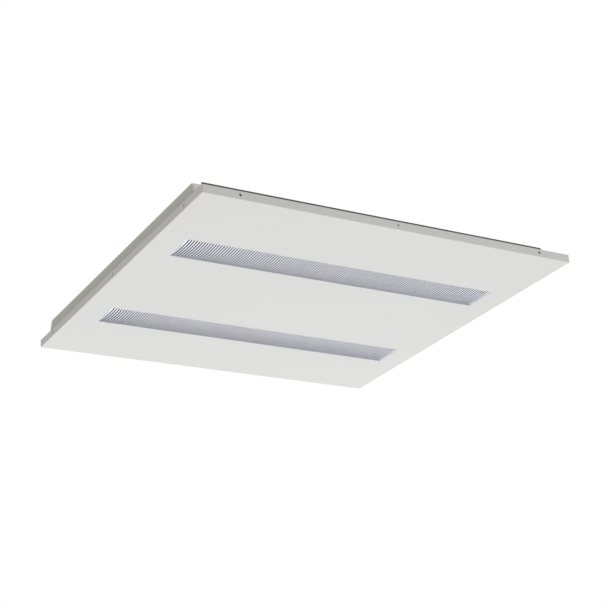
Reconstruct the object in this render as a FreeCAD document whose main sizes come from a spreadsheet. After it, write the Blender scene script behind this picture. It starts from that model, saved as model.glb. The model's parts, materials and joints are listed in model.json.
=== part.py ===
import FreeCAD, Part
import Sketcher
import os
from types import SimpleNamespace

# Square recessed ceiling light with two louvred slots, in millimetres.
# X runs along the slots, Y across them and Z is up. The origin is the middle of the face's underside.

SIZES = {
    # face panel: a folded tray, open at the top
    "panel_side": 595.0,
    "sheet": 0.8,
    "flange_rise": 12.0,
    "fold_radius": 1.2,
    "slot_length": 509.0,
    "slot_width": 58.0,
    "slot_offset": 132.0,
    "edge_hole_radius": 2.0,
    "edge_hole_inset": 55.0,
    "edge_hole_height": 6.5,
    "stud_radius": 1.5,
    "stud_rise": 4.6,
    "stud_reach": 200.0,
    "stud_setback": 16.0,
    # rear housing: a shallow pan, open at the bottom
    "housing_gap_x": 4.0,
    "housing_gap_y": 30.0,
    "housing_top": 33.0,
    "housing_knee": 12.0,
    "housing_slope": 9.0,
    "slope_wall": 0.5,
    "housing_bend": 2.5,
    # joints between panel and housing
    "bracket_length": 60.0,
    "bracket_sheet": 1.0,
    "bracket_rise": 10.2,
    "spacer_length": 30.0,
    "rivet_radius": 1.9,
    "rivet_head_radius": 3.5,
    "rivet_head": 1.2,
    "rivet_recess": 0.3,
    # louvre
    "louvre_play": 0.3,
    "louvre_wall": 1.2,
    "louvre_rim": 4.0,
    "louvre_rim_thickness": 1.2,
    "louvre_rise": 8.2,
    "blade_pitch": 4.2,
    "blade_thickness": 2.0,
    "blade_drop": 0.7,
    "blade_bow": 1.8,
    "diffuser_thickness": 1.5,
    # reflector trough
    "reflector_play": 0.8,
    "reflector_flange": 7.7,
    "reflector_overrun": 2.5,
    "reflector_skirt": 8.0,
    "reflector_rise": 28.2,
    "reflector_crown": 31.6,
    # clips that hold louvre and reflector down
    "clip_width": 12.0,
    "clip_sheet": 0.8,
    "clip_back": 5.0,
    "clip_front": 4.5,
    "clip_finger": 11.0,
    "stud_play": 0.1,
    "stud_nut_radius": 3.2,
    "stud_nut_height": 2.4,
    # light source
    "board_margin": 4.5,
    "board_width": 24.0,
    "board_thickness": 1.6,
    "spreader_width": 40.0,
    "led_size": 3.0,
    "led_height": 0.7,
    "led_start": 12.0,
    "led_end": 39.2,
    "led_shift": 2.0,
    "plug_length": 10.0,
    "plug_width": 10.0,
    "plug_height": 4.0,
    "plug_setback": 2.0,
    "small_screw_radius": 1.45,
    "small_head_radius": 2.75,
    "small_head": 1.5,
    "board_screw_inset": 25.0,
    "board_screw_shift": 8.0,
    "screw_radius": 1.95,
    "screw_head_radius": 4.0,
    "screw_head": 2.2,
    "screw_play": 0.05,
    "spreader_screw_inset": 70.0,
    "spreader_screw_depth": 2.6,
    # gear tray and its hinged cover
    "tray_room": 124.0,
    "tray_width": 120.0,
    "tray_rise": 26.0,
    "tray_tab": 8.0,
    "tray_screw_inset": 15.0,
    "tray_screw_y": 50.0,
    "cover_play": 0.4,
    "cover_gap": 0.2,
    "cover_lip": 4.8,
    "cover_lip_end": 2.0,
    "vent_width": 2.5,
    "vent_length": 26.0,
    "vent_pitch": 9.0,
    "hinge_inset": 55.0,
    "hinge_setback": 3.0,
    "hinge_drop": 1.0,
    "knuckle_radius": 2.5,
    "knuckle_length": 8.0,
    "cover_knuckle": 12.0,
    "knuckle_gap": 0.5,
    "pin_radius": 1.25,
    "pin_play": 0.03,
    # driver
    "driver_x": 30.0,
    "driver_y": -32.0,
    "driver_length": 206.0,
    "driver_width": 40.0,
    "driver_height": 20.0,
    "driver_foot": 12.0,
    "driver_lip": 6.0,
    "post_radius": 2.5,
    "post_height": 3.4,
    "circuit_margin": 5.0,
    "socket_length": 12.0,
    "socket_width": 30.0,
    "socket_height": 9.0,
    "tall_component": 12.0,
    "transformer_length": 26.0,
    "transformer_width": 24.0,
    "choke_length": 18.0,
    "choke_width": 20.0,
    "choke_height": 11.0,
    "choke_shift": 48.0,
    "sink_thickness": 3.0,
    "sink_width": 26.0,
    "sink_shift": 26.0,
    "capacitor_radius": 5.0,
    "capacitor_shift": 44.0,
    "capacitor_spread": 8.0,
    "filter_radius": 6.0,
    "filter_shift": 62.0,
    "fuse_radius": 4.0,
    "fuse_height": 10.0,
    "fuse_shift": 68.0,
    # terminal block and its release buttons
    "block_inset": 39.0,
    "block_length": 28.0,
    "block_width": 44.0,
    "block_height": 18.0,
    "pole_pitch": 8.0,
    "button_length": 8.0,
    "button_width": 5.0,
    "button_height": 7.0,
    "button_proud": 3.0,
    "button_play": 0.15,
    "button_well": 7.5,
    "button_shift": 6.0,
    "wire_hole_radius": 1.7,
    "wire_hole_depth": 10.0,
    "wire_hole_height": 4.5,
    # earth stud
    "earth_inset": 67.0,
    "earth_y": -52.0,
    "earth_radius": 2.0,
    "earth_rise": 11.0,
    "earth_collar_radius": 4.5,
    "earth_collar": 1.0,
    "earth_nut_radius": 4.04,
    "earth_nut_height": 3.2,
    # cable entry and blanking plugs
    "entry_y": 30.0,
    "entry_height": 12.0,
    "entry_radius": 8.25,
    "cable_radius": 4.5,
    "grommet_play": 0.05,
    "grommet_rim": 1.25,
    "grommet_rim_length": 3.8,
    "plug_rim_length": 1.6,
    "plug_depth": 2.2,
    # leads inside the light
    "lead_hole_inset": 8.0,
    "lead_hole_radius": 4.5,
    "lead_spread": 6.0,
    "lead_grommet_rim": 1.1,
    "lead_grommet_rim_length": 1.0,
    "lead_radius": 1.6,
    "lead_play": 0.3,
    "lead_bend": 6.0,
    "lead_level": 9.2,
    "lead_aisle": 86.0,
    "lead_turn": 17.0,
    "supply_radius": 1.4,
    # swing-out grid clips on the back
    "swing_x": 270.0,
    "swing_y": 200.0,
    "swing_sheet": 1.2,
    "swing_radius": 8.0,
    "swing_step": 20.0,
    "swing_reach": 45.0,
    "swing_rise": 8.7,
    "swing_gap": 0.4,
    "swing_top_gap": 0.3,
    "pivot_radius": 2.5,
    "pivot_play": 0.05,
    "pivot_collar_radius": 4.0,
    "pivot_collar": 0.3,
    "pivot_head_radius": 4.6,
    "pivot_head": 1.2,
    # hanger brackets on the back
    "hanger_x": 220.0,
    "hanger_y": 215.0,
    "hanger_width": 24.0,
    "hanger_sheet": 1.2,
    "hanger_rise": 14.0,
    "hanger_tab": 18.0,
    "hanger_base": 16.0,
    "hanger_hole_radius": 3.5,
    "hanger_rivet_reach": 6.0,
    "hanger_rivet_radius": 1.6,
    "hanger_rivet_head_radius": 2.8,
    "hanger_rivet_head": 1.0,
}

POLES = 5
LEDS = 35
VENTS = 16
SIDES = {"near": -1, "far": 1}
CORNERS = [(1, 1), (-1, 1), (-1, -1), (1, -1)]

doc = FreeCAD.newDocument("recessed_light")
sheet = doc.addObject("Spreadsheet::Sheet", "Sizes")
for row, (name, value) in enumerate(SIZES.items(), start=1):
    sheet.set(f"A{row}", name)
    sheet.set(f"B{row}", str(value))
    sheet.setAlias(f"B{row}", name)
doc.recompute()


class Size:
    """A length with its value and the formula on the sheet that gives it."""

    def __init__(self, text, value):
        self.text = text
        self.value = value

    def __add__(self, other):
        return Size(f"({self.text} + {formula(other)})", self.value + number(other))

    def __sub__(self, other):
        return Size(f"({self.text} - {formula(other)})", self.value - number(other))

    def __rsub__(self, other):
        return Size(f"({formula(other)} - {self.text})", number(other) - self.value)

    def __mul__(self, other):
        return Size(f"({self.text} * {formula(other)})", self.value * number(other))

    def __truediv__(self, other):
        return Size(f"({self.text} / {formula(other)})", self.value / number(other))

    def __neg__(self):
        return Size(f"(-1 * {self.text})", -self.value)

    __radd__ = __add__
    __rmul__ = __mul__


def formula(value):
    return value.text if isinstance(value, Size) else repr(float(value))


def number(value):
    return value.value if isinstance(value, Size) else float(value)


def bind(thing, **values):
    """Ties properties to sizes; two underscores stand for a dot."""
    for name, value in values.items():
        thing.setExpression(name.replace("__", "."), formula(value))


s = SimpleNamespace(**{name: Size(f"Sizes.{name}", value) for name, value in SIZES.items()})
parts = {}


def node(label, thing):
    thing.Label = label
    parts[label] = thing
    return thing


# ---- plain solids and booleans ----

def about(middle, width):
    return (middle - width / 2, middle + width / 2)


def facing(sign, low, high):
    """The span from low to high, on the side of zero that the sign says."""
    return (low, high) if sign > 0 else (-high, -low)


def box(x, y, z):
    solid = doc.addObject("Part::Box", "Block")
    bind(solid, Length=x[1] - x[0], Width=y[1] - y[0], Height=z[1] - z[0])
    bind(solid, Placement__Base__x=x[0], Placement__Base__y=y[0], Placement__Base__z=z[0])
    return solid


TURNS = {
    "x": FreeCAD.Rotation(FreeCAD.Vector(0, 1, 0), 90),
    "y": FreeCAD.Rotation(FreeCAD.Vector(1, 0, 0), -90),
    "z": FreeCAD.Rotation(),
}


def rod(radius, along, centre, span):
    """A cylinder along one axis; centre gives its other two coordinates, in X, Y, Z order."""
    solid = doc.addObject("Part::Cylinder", "Rod")
    bind(solid, Radius=radius, Height=span[1] - span[0])
    solid.Placement = FreeCAD.Placement(FreeCAD.Vector(), TURNS[along])
    start = list(centre)
    start.insert("xyz".index(along), span[0])
    bind(solid, Placement__Base__x=start[0], Placement__Base__y=start[1], Placement__Base__z=start[2])
    return solid


def hexagon(radius, bore, centre, span):
    """A hexagon nut with a plain bore, standing upright."""
    solid = doc.addObject("Part::Prism", "Hexagon")
    solid.Polygon = 6
    bind(solid, Circumradius=radius, Height=span[1] - span[0])
    bind(solid, Placement__Base__x=centre[0], Placement__Base__y=centre[1], Placement__Base__z=span[0])
    return cut(solid, rod(bore, "z", centre, span))


def join(*things):
    fused = doc.addObject("Part::MultiFuse", "Joined")
    fused.Shapes = list(things)
    return fused


def group(*things):
    together = doc.addObject("Part::Compound", "Group")
    together.Links = list(things)
    return together


def cut(base, *tools):
    result = doc.addObject("Part::Cut", "Trimmed")
    result.Base = base
    result.Tool = tools[0] if len(tools) == 1 else join(*tools)
    return result


# ---- sketched bodies ----

def body(label):
    return node(label, doc.addObject("PartDesign::Body", label))


def sketch(owner, plane, x=0.0, y=0.0, lift=0.0):
    """A sketch on one of the body's own planes, moved in that plane and lifted along its normal."""
    drawing = owner.newObject("Sketcher::SketchObject", "Sketch")
    base = next(item for item in owner.Origin.OriginFeatures if item.Role == plane)
    drawing.AttachmentSupport = (base, [""])
    drawing.MapMode = "FlatFace"
    bind(drawing, AttachmentOffset__Base__x=x, AttachmentOffset__Base__y=y, AttachmentOffset__Base__z=lift)
    return drawing


def pin_point(drawing, line, vertex, point):
    for kind, value in zip(("DistanceX", "DistanceY"), point):
        rule = Sketcher.Constraint(kind, -1, 1, line, vertex, number(value))
        index = drawing.addConstraint(rule)
        drawing.setExpression(f"Constraints[{index}]", formula(value))


def outline(drawing, points):
    """A closed outline of straight lines, each corner tied to its two sizes."""
    corners = [FreeCAD.Vector(number(x), number(y), 0) for x, y in points]
    first = drawing.GeometryCount
    count = len(points)
    for index in range(count):
        drawing.addGeometry(Part.LineSegment(corners[index], corners[(index + 1) % count]))
    for index in range(count):
        after = first + (index + 1) % count
        drawing.addConstraint(Sketcher.Constraint("Coincident", first + index, 2, after, 1))
    for index, point in enumerate(points):
        pin_point(drawing, first + index, 1, point)


def rectangle(drawing, x, y):
    outline(drawing, [(x[0], y[0]), (x[1], y[0]), (x[1], y[1]), (x[0], y[1])])


def circle(drawing, centre, radius):
    middle = FreeCAD.Vector(number(centre[0]), number(centre[1]), 0)
    index = drawing.addGeometry(Part.Circle(middle, FreeCAD.Vector(0, 0, 1), number(radius)))
    pin_point(drawing, index, 3, centre)
    rule = drawing.addConstraint(Sketcher.Constraint("Radius", index, number(radius)))
    drawing.setExpression(f"Constraints[{rule}]", formula(radius))


def pad(owner, drawing, length):
    feature = owner.newObject("PartDesign::Pad", "Pad")
    feature.Profile = drawing
    bind(feature, Length=length)
    doc.recompute()
    return feature


def pocket(owner, drawing, depth=None, upward=False, both_ways=False):
    """Cuts the sketch away: down by a depth, upward by a depth, or right through."""
    before = owner.Shape.Volume
    feature = owner.newObject("PartDesign::Pocket", "Pocket")
    feature.Profile = drawing
    feature.Reversed = upward
    if depth is None:
        feature.Type = "ThroughAll"
        feature.Midplane = both_ways
    else:
        bind(feature, Length=depth)
    doc.recompute()
    assert owner.Shape.Volume < before - 0.01, f"{owner.Label}: the pocket cuts nothing"
    return feature


def round_edges(owner, feature, radius, wanted):
    """Rounds the edges whose two end points both pass the test."""
    names = [
        f"Edge{index}"
        for index, edge in enumerate(feature.Shape.Edges, start=1)
        if wanted(*[vertex.Point for vertex in edge.Vertexes])
    ]
    fillet = owner.newObject("PartDesign::Fillet", "Fillet")
    fillet.Base = (feature, names)
    bind(fillet, Radius=radius)
    doc.recompute()
    return fillet


def level_with(height):
    return lambda start, end: abs(start.z - number(height)) < 0.01 and abs(end.z - number(height)) < 0.01


def upright(start, end):
    return abs(start.x - end.x) < 0.01 and abs(start.y - end.y) < 0.01


def corner_edge(start, end):
    """An edge that climbs along one end face, straight up or leaning in."""
    return abs(start.x - end.x) < 0.01 and abs(start.z - end.z) > 1.0


# ---- levels and edges that several pieces share ----

edge = s.panel_side / 2
edge_inside = edge - s.sheet
edge_hole = edge - s.edge_hole_inset
wall_x = edge - s.housing_gap_x
wall_y = edge - s.housing_gap_y
shoulder_y = wall_y - s.housing_slope
housing_ceiling = s.housing_top - s.sheet
slot_x = s.slot_length / 2
slot_y = s.slot_width / 2
stud_y = slot_y + s.stud_setback
louvre_x = slot_x - s.louvre_play
louvre_y = slot_y - s.louvre_play
rim_x = slot_x + s.louvre_rim
rim_y = slot_y + s.louvre_rim
rim_top = s.sheet + s.louvre_rim_thickness
louvre_top = s.sheet + s.louvre_rise
trough_in = louvre_y + s.reflector_play
trough_out = trough_in + s.sheet
trough_end = slot_x + s.reflector_overrun
trough_top = rim_top + s.reflector_rise
trough_ceiling = trough_top - s.sheet
crown = s.reflector_crown / 2
board_x = slot_x - s.board_margin
led_pitch = (2 * board_x - s.led_start - s.led_end) / (LEDS - 1)
board_under = trough_ceiling - s.board_thickness
tray_x = (s.driver_length + s.tray_room) / 2
tray_screw_x = tray_x - s.tray_screw_inset
lead_hole_x = tray_x - s.lead_hole_inset
block_x = s.block_inset - tray_x
earth_x = s.earth_inset - tray_x
tray_y = s.tray_width / 2
tray_floor = s.housing_top + s.sheet
tray_rim = s.housing_top + s.tray_rise
hinge_y = tray_y + s.hinge_setback
hinge_z = tray_rim - s.hinge_drop
screw_hole = s.screw_radius + s.screw_play
small_hole = s.small_screw_radius + s.screw_play
swing_under = s.housing_top + s.swing_gap
swing_top = swing_under + s.swing_sheet
pivot_hole = s.pivot_radius + s.pivot_play
entry_z = s.housing_top + s.entry_height
lead_z = tray_floor + s.lead_level
run_z = board_under - s.plug_height / 2
hanger_riser = s.hanger_y - s.hanger_tab / 2
hanger_rivet_y = hanger_riser - s.hanger_base / 2
hanger_hole = s.hanger_rivet_radius + s.screw_play

BOARD_SCREWS = [(board_x - s.board_screw_inset) / 3 * step for step in (-3, -1, 1, 3)]
SPREADER_SCREWS = [(board_x - s.spreader_screw_inset) * step for step in (-1, 0, 1)]
LEAD_HOLES = [(lead_hole_x, s.driver_y + sign * s.lead_spread) for sign in SIDES.values()]


# ---- face panel and rear housing ----

def face_panel():
    panel = body("face_panel")
    drawing = sketch(panel, "XY_Plane")
    rectangle(drawing, (-edge, edge), (-edge, edge))
    slab = pad(panel, drawing, s.flange_rise)
    round_edges(panel, slab, s.fold_radius, lambda a, b: level_with(0)(a, b) or upright(a, b))

    drawing = sketch(panel, "XY_Plane", lift=s.flange_rise)
    rectangle(drawing, (-edge_inside, edge_inside), (-edge_inside, edge_inside))
    pocket(panel, drawing, s.flange_rise - s.sheet)

    drawing = sketch(panel, "XY_Plane", lift=s.sheet)
    for sign in SIDES.values():
        rectangle(drawing, (-slot_x, slot_x), about(sign * s.slot_offset, s.slot_width))
    pocket(panel, drawing)

    for plane in ("XZ_Plane", "YZ_Plane"):
        drawing = sketch(panel, plane)
        for place in (-edge_hole, 0.0, edge_hole):
            circle(drawing, (place, s.edge_hole_height), s.edge_hole_radius)
        pocket(panel, drawing, both_ways=True)

    drawing = sketch(panel, "XY_Plane", lift=s.sheet)
    for sign_x, sign_y in CORNERS:
        for side in SIDES.values():
            centre = (sign_x * s.stud_reach, sign_y * s.slot_offset + side * stud_y)
            circle(drawing, centre, s.stud_radius)
    pad(panel, drawing, s.stud_rise)


def rear_housing():
    """A pan, open at the bottom, with long sides that lean in above a knee."""
    housing = body("rear_housing")
    drawing = sketch(housing, "YZ_Plane", lift=-wall_x)
    outline(drawing, [
        (-wall_y, s.sheet), (wall_y, s.sheet), (wall_y, s.housing_knee),
        (shoulder_y, s.housing_top), (-shoulder_y, s.housing_top), (-wall_y, s.housing_knee),
    ])
    block = pad(housing, drawing, 2 * wall_x)
    top = level_with(s.housing_top)
    round_edges(housing, block, s.housing_bend, lambda a, b: top(a, b) or corner_edge(a, b))

    inside_x = wall_x - s.sheet
    inside_y = wall_y - s.sheet
    inside_shoulder = shoulder_y - s.slope_wall
    drawing = sketch(housing, "YZ_Plane", lift=-inside_x)
    outline(drawing, [
        (-inside_y, s.sheet), (inside_y, s.sheet), (inside_y, s.housing_knee),
        (inside_shoulder, housing_ceiling), (-inside_shoulder, housing_ceiling), (-inside_y, s.housing_knee),
    ])
    pocket(housing, drawing, 2 * inside_x, upward=True)

    for plane in ("XZ_Plane", "YZ_Plane"):
        drawing = sketch(housing, plane)
        circle(drawing, (0.0, s.edge_hole_height), s.edge_hole_radius)
        pocket(housing, drawing, both_ways=True)

    drawing = sketch(housing, "XY_Plane", lift=s.housing_top)
    for centre in LEAD_HOLES:
        circle(drawing, centre, s.lead_hole_radius)
    for sign_x, sign_y in CORNERS:
        circle(drawing, (sign_x * tray_screw_x, sign_y * s.tray_screw_y), screw_hole)
        circle(drawing, (sign_x * s.swing_x, sign_y * s.swing_y), pivot_hole)
        for side in SIDES.values():
            centre_x = sign_x * s.hanger_x + side * s.hanger_rivet_reach
            circle(drawing, (centre_x, sign_y * hanger_rivet_y), hanger_hole)
    for sign in SIDES.values():
        for place in SPREADER_SCREWS:
            circle(drawing, (place, sign * s.slot_offset), screw_hole)
    pocket(housing, drawing, s.sheet)


def panel_brackets():
    """Channels that bridge from the panel's edge to the housing wall, one on each long side."""
    rise = (s.sheet, s.sheet + s.bracket_rise)
    for name, sign in SIDES.items():
        x = about(0.0, s.bracket_length)
        base = box(x, facing(sign, wall_y, edge_inside), (s.sheet, s.sheet + s.bracket_sheet))
        outer_leg = box(x, facing(sign, edge_inside - s.bracket_sheet, edge_inside), rise)
        inner_leg = box(x, facing(sign, wall_y, wall_y + s.bracket_sheet), rise)
        hole = rod(s.edge_hole_radius, "y", (0.0, s.edge_hole_height), facing(sign, wall_y, edge))
        node(f"panel_bracket_{name}", cut(join(base, outer_leg, inner_leg), hole))


def side_spacers():
    pads = []
    for sign in SIDES.values():
        x = facing(sign, wall_x, edge_inside)
        pad_block = box(x, about(0.0, s.spacer_length), (s.sheet, s.sheet + s.bracket_rise))
        pads.append(cut(pad_block, rod(s.edge_hole_radius, "x", (0.0, s.edge_hole_height), x)))
    node("side_spacers", group(*pads))


def rivet(along, sign, inner, outer, heads):
    """A rivet from an inner to an outer face; heads says which ends have one."""
    centre = (0.0, s.edge_hole_height)
    pieces = [rod(s.rivet_radius, along, centre, facing(sign, inner, outer))]
    if "inner" in heads:
        pieces.append(rod(s.rivet_head_radius, along, centre, facing(sign, inner - s.rivet_head, inner)))
    if "outer" in heads:
        pieces.append(rod(s.rivet_head_radius, along, centre, facing(sign, outer, outer + s.rivet_head)))
    return join(*pieces)


def rivets():
    flush = edge - s.rivet_recess
    leg = edge_inside - s.bracket_sheet
    edge_rivets = []
    wall_rivets = []
    for sign in SIDES.values():
        edge_rivets.append(rivet("y", sign, leg, flush, ["inner"]))
        edge_rivets.append(rivet("x", sign, wall_x - s.sheet, flush, ["inner"]))
        wall_rivets.append(rivet("y", sign, wall_y - s.sheet, wall_y + s.bracket_sheet, ["inner", "outer"]))
    node("edge_rivets", group(*edge_rivets))
    node("wall_rivets", group(*wall_rivets))


# ---- louvre, diffuser and reflector of each slot ----

def louvre_solid(centre_y):
    """A rimmed frame with cross blades, their lower edges bowed down towards the middle."""
    half_x, half_y = louvre_x.value, louvre_y.value
    base, top = s.sheet.value, louvre_top.value
    wall, pitch, blade = s.louvre_wall.value, s.blade_pitch.value, s.blade_thickness.value
    frame = Part.makeBox(2 * half_x, 2 * half_y, top - base, FreeCAD.Vector(-half_x, -half_y, base))
    rim_corner = FreeCAD.Vector(-rim_x.value, -rim_y.value, base)
    rim = Part.makeBox(2 * rim_x.value, 2 * rim_y.value, s.louvre_rim_thickness.value, rim_corner)
    inside_x, inside_y = half_x - wall, half_y - wall
    low = base - s.blade_drop.value
    core = Part.makeBox(2 * inside_x, 2 * inside_y, top - low, FreeCAD.Vector(-inside_x, -inside_y, low))
    solid = frame.fuse([rim, core]).removeSplitter()

    shoulder = low + s.blade_bow.value
    left = FreeCAD.Vector(-inside_x, -inside_y, shoulder)
    right = FreeCAD.Vector(-inside_x, inside_y, shoulder)
    arc = Part.Arc(left, FreeCAD.Vector(-inside_x, 0, low), right).toShape()
    corners = [right, FreeCAD.Vector(-inside_x, inside_y, 0), FreeCAD.Vector(-inside_x, -inside_y, 0), left]
    under = Part.Face(Part.Wire([arc, *Part.makePolygon(corners).Edges]))
    solid = solid.cut(under.extrude(FreeCAD.Vector(2 * inside_x, 0, 0)))

    gap = pitch - blade
    count = int((2 * inside_x + blade) / pitch)
    start = -(count * pitch - blade) / 2
    gaps = [
        Part.makeBox(gap, 2 * inside_y, top + wall, FreeCAD.Vector(start + index * pitch, -inside_y, 0))
        for index in range(count)
    ]
    solid = solid.cut(Part.makeCompound(gaps))
    solid.translate(FreeCAD.Vector(0, centre_y, 0))
    return solid


def louvres():
    for name, sign in SIDES.items():
        louvre = node(f"louvre_{name}", doc.addObject("Part::Feature", f"louvre_{name}"))
        louvre.Shape = louvre_solid(sign * s.slot_offset.value)


def diffusers():
    for name, sign in SIDES.items():
        y = about(sign * s.slot_offset, 2 * louvre_y)
        z = (louvre_top, louvre_top + s.diffuser_thickness)
        node(f"diffuser_{name}", box((-louvre_x, louvre_x), y, z))


def reflectors():
    skirt_top = rim_top + s.reflector_skirt
    foot = trough_out + s.reflector_flange
    foot_top = rim_top + s.sheet
    crown_in = crown - s.sheet
    right_half = [
        (foot, rim_top), (foot, foot_top), (trough_out, foot_top), (trough_out, skirt_top),
        (crown, trough_top),
    ]
    inner_left = [
        (-trough_in, rim_top), (-trough_in, skirt_top), (-crown_in, trough_ceiling),
        (crown_in, trough_ceiling), (trough_in, skirt_top), (trough_in, rim_top),
    ]
    left_half = [(-x, z) for x, z in reversed(right_half)]
    for name, sign in SIDES.items():
        trough = body(f"reflector_{name}")
        drawing = sketch(trough, "YZ_Plane", x=sign * s.slot_offset, lift=-trough_end)
        outline(drawing, right_half + left_half + inner_left)
        pad(trough, drawing, 2 * trough_end)
        drawing = sketch(trough, "XY_Plane", y=sign * s.slot_offset, lift=trough_top)
        for place in BOARD_SCREWS:
            circle(drawing, (place, s.board_screw_shift), small_hole)
        pocket(trough, drawing, s.sheet)


def reflector_ends():
    """Plates that close the troughs; the one at the plus X end has a hole for its lead."""
    skirt_top = rim_top + s.reflector_skirt
    right_half = [(trough_out, rim_top), (trough_out, skirt_top), (crown, trough_top)]
    left_half = [(-x, z) for x, z in reversed(right_half)]
    for name, sign in SIDES.items():
        plates = []
        for end, start in ((-1, -trough_end - s.sheet), (1, trough_end)):
            plate = doc.addObject("PartDesign::Body", f"end_plate_{name}")
            drawing = sketch(plate, "YZ_Plane", x=sign * s.slot_offset, lift=start)
            outline(drawing, right_half + left_half)
            if end > 0:
                circle(drawing, (0.0, run_z), s.lead_radius + s.lead_play)
            pad(plate, drawing, s.sheet)
            plates.append(plate)
        node(f"reflector_ends_{name}", group(*plates))


def louvre_clips():
    """Spring clips on the panel's studs, each pressing a reflector foot and a louvre rim down."""
    finger_z = (rim_top + s.sheet, rim_top + s.sheet + s.clip_sheet)
    clips = []
    nuts = []
    for sign_x, sign_y in CORNERS:
        for side in SIDES.values():
            middle = sign_y * s.slot_offset
            stud_x = sign_x * s.stud_reach
            x = about(stud_x, s.clip_width)
            riser = stud_y - s.clip_front

            def across(low, high):
                first, last = facing(side, low, high)
                return (middle + first, middle + last)

            foot = box(x, across(riser, stud_y + s.clip_back), (s.sheet, s.sheet + s.clip_sheet))
            web = box(x, across(riser, riser + s.clip_sheet), (s.sheet, finger_z[1]))
            finger = box(x, across(stud_y - s.clip_finger, riser + s.clip_sheet), finger_z)
            centre = (stud_x, middle + side * stud_y)
            hole = rod(s.stud_radius + s.stud_play, "z", centre, (s.sheet, s.sheet + s.clip_sheet))
            clips.append(cut(join(foot, web, finger), hole))
            seat = s.sheet + s.clip_sheet
            nut_z = (seat, seat + s.stud_nut_height)
            nuts.append(hexagon(s.stud_nut_radius, s.stud_radius + s.screw_play, centre, nut_z))
    node("louvre_clips", group(*clips))
    node("clip_nuts", group(*nuts))


# ---- light source of each slot ----

def light_sources():
    board_plugs = []
    board_screws = []
    for name, sign in SIDES.items():
        middle = sign * s.slot_offset
        spreader = box((-board_x, board_x), about(middle, s.spreader_width), (trough_top, housing_ceiling))
        board = box((-board_x, board_x), about(middle, s.board_width), (board_under, trough_ceiling))
        board_holes = []
        spreader_holes = []
        for place in BOARD_SCREWS:
            centre = (place, middle + s.board_screw_shift)
            board_holes.append(rod(small_hole, "z", centre, (board_under, trough_ceiling)))
            spreader_holes.append(rod(small_hole, "z", centre, (trough_top, housing_ceiling)))
            shank = rod(s.small_screw_radius, "z", centre, (board_under, housing_ceiling - s.screw_play))
            head = rod(s.small_head_radius, "z", centre, (board_under - s.small_head, board_under))
            board_screws.append(join(shank, head))
        for place in SPREADER_SCREWS:
            spreader_holes.append(rod(screw_hole, "z", (place, middle), (trough_top, housing_ceiling)))
        node(f"heat_spreader_{name}", cut(spreader, *spreader_holes))
        node(f"led_board_{name}", cut(board, *board_holes))

        leds = []
        for index in range(LEDS):
            x = about(s.led_start - board_x + led_pitch * index, s.led_size)
            y = about(middle - s.led_shift, s.led_size)
            leds.append(box(x, y, (board_under - s.led_height, board_under)))
        node(f"leds_{name}", group(*leds))

        plug_end = board_x - s.plug_setback
        plug_x = (plug_end - s.plug_length, plug_end)
        plug_z = (board_under - s.plug_height, board_under)
        board_plugs.append(box(plug_x, about(middle, s.plug_width), plug_z))
    node("board_plugs", group(*board_plugs))
    node("board_screws", group(*board_screws))


def round_screw(centre, seat, depth, radius, head_radius, head):
    """A screw that goes down from its seat, with a flat round head above it."""
    shank = rod(radius, "z", centre, (seat - depth, seat))
    return join(shank, rod(head_radius, "z", centre, (seat, seat + head)))


def spreader_screws():
    screws = [
        round_screw(
            (place, sign * s.slot_offset), s.housing_top, s.spreader_screw_depth,
            s.screw_radius, s.screw_head_radius, s.screw_head,
        )
        for sign in SIDES.values()
        for place in SPREADER_SCREWS
    ]
    node("spreader_screws", group(*screws))


# ---- gear tray and cover ----

def knuckle_spans():
    """For each hinge, the cover's knuckle and the tray's two beside it, along X."""
    hinges = []
    for sign in SIDES.values():
        middle = sign * (tray_x - s.hinge_inset)
        near = s.cover_knuckle / 2 + s.knuckle_gap
        cover_knuckle = about(middle, s.cover_knuckle)
        tray_knuckles = [
            (middle - near - s.knuckle_length, middle - near),
            (middle + near, middle + near + s.knuckle_length),
        ]
        hinges.append((cover_knuckle, tray_knuckles))
    return hinges


def gear_tray():
    """A channel folded from one sheet, open at the top and at its ends."""
    room_y = tray_y - s.sheet
    shell = cut(
        box((-tray_x, tray_x), (-tray_y, tray_y), (s.housing_top, tray_rim)),
        box((-tray_x, tray_x), (-room_y, room_y), (tray_floor, tray_rim)),
    )
    knuckles = []
    bores = []
    for _, tray_knuckles in knuckle_spans():
        for span in tray_knuckles:
            knuckles.append(rod(s.knuckle_radius, "x", (hinge_y, hinge_z), span))
            knuckles.append(box(span, (tray_y, hinge_y), (hinge_z - s.knuckle_radius, hinge_z)))
            bores.append(rod(s.pin_radius + s.pin_play, "x", (hinge_y, hinge_z), span))
    floor = (s.housing_top, tray_floor)
    holes = [rod(s.lead_hole_radius, "z", centre, floor) for centre in LEAD_HOLES]
    for sign_x, sign_y in CORNERS:
        holes.append(rod(screw_hole, "z", (sign_x * tray_screw_x, sign_y * s.tray_screw_y), floor))
    for place in driver_screw_places():
        holes.append(rod(small_hole, "z", (place, s.driver_y), floor))
    node("gear_tray", cut(join(shell, *knuckles), *bores, *holes))


def tray_ends():
    """Plates that close the tray's ends, each with two tabs against its long walls."""
    room_y = tray_y - s.sheet
    plate_z = (tray_floor, tray_rim)
    ends = []
    for sign, entries in ((-1, [1]), (1, [-1, 1])):
        plate_x = facing(sign, tray_x - s.sheet, tray_x)
        tab_x = facing(sign, tray_x - s.tray_tab, tray_x)
        tabs = [box(tab_x, facing(side, room_y - s.sheet, room_y), plate_z) for side in SIDES.values()]
        holes = [rod(s.entry_radius, "x", (entry * s.entry_y, entry_z), plate_x) for entry in entries]
        ends.append(cut(join(box(plate_x, (-room_y, room_y), plate_z), *tabs), *holes))
    node("tray_ends", group(*ends))


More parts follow.
